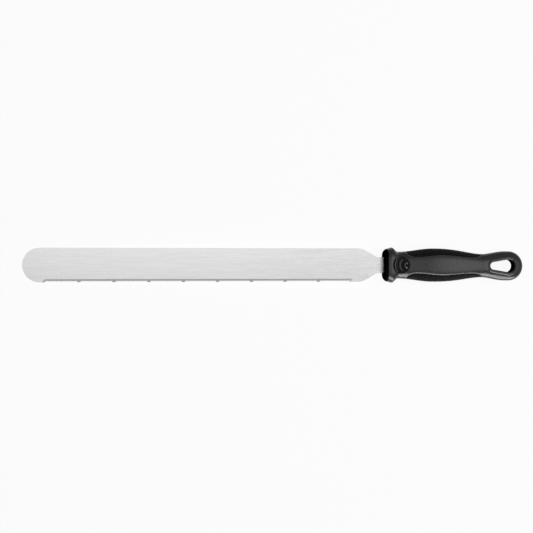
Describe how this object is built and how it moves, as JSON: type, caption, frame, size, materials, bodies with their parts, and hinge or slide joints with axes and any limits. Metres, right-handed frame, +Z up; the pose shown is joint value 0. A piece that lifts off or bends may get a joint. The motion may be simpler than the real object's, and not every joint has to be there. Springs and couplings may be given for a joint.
{
  "type": "serrated palette knife",
  "caption": "Long flat palette knife with a rounded tip and a serrated lower edge, on a moulded handle with a collar, a ribbed thumb rest, grip zones and a hanging hole.",
  "frame": {"origin": "on the surface the knife lies on, under the middle of its box", "axes": "+X from the tip towards the handle, +Y towards the spine, +Z up, away from the surface it lies on"},
  "size_m": [0.4958, 0.0352, 0.0223],
  "materials": {
    "blade_steel": "satin stainless steel, brushed along the blade",
    "handle_plastic": "satin black moulded plastic, with a fine diamond knurl in the grip zones"
  },
  "bodies": {
    "root": {"blade": "blade_steel", "handle": "handle_plastic"}
  },
  "joints": []
}
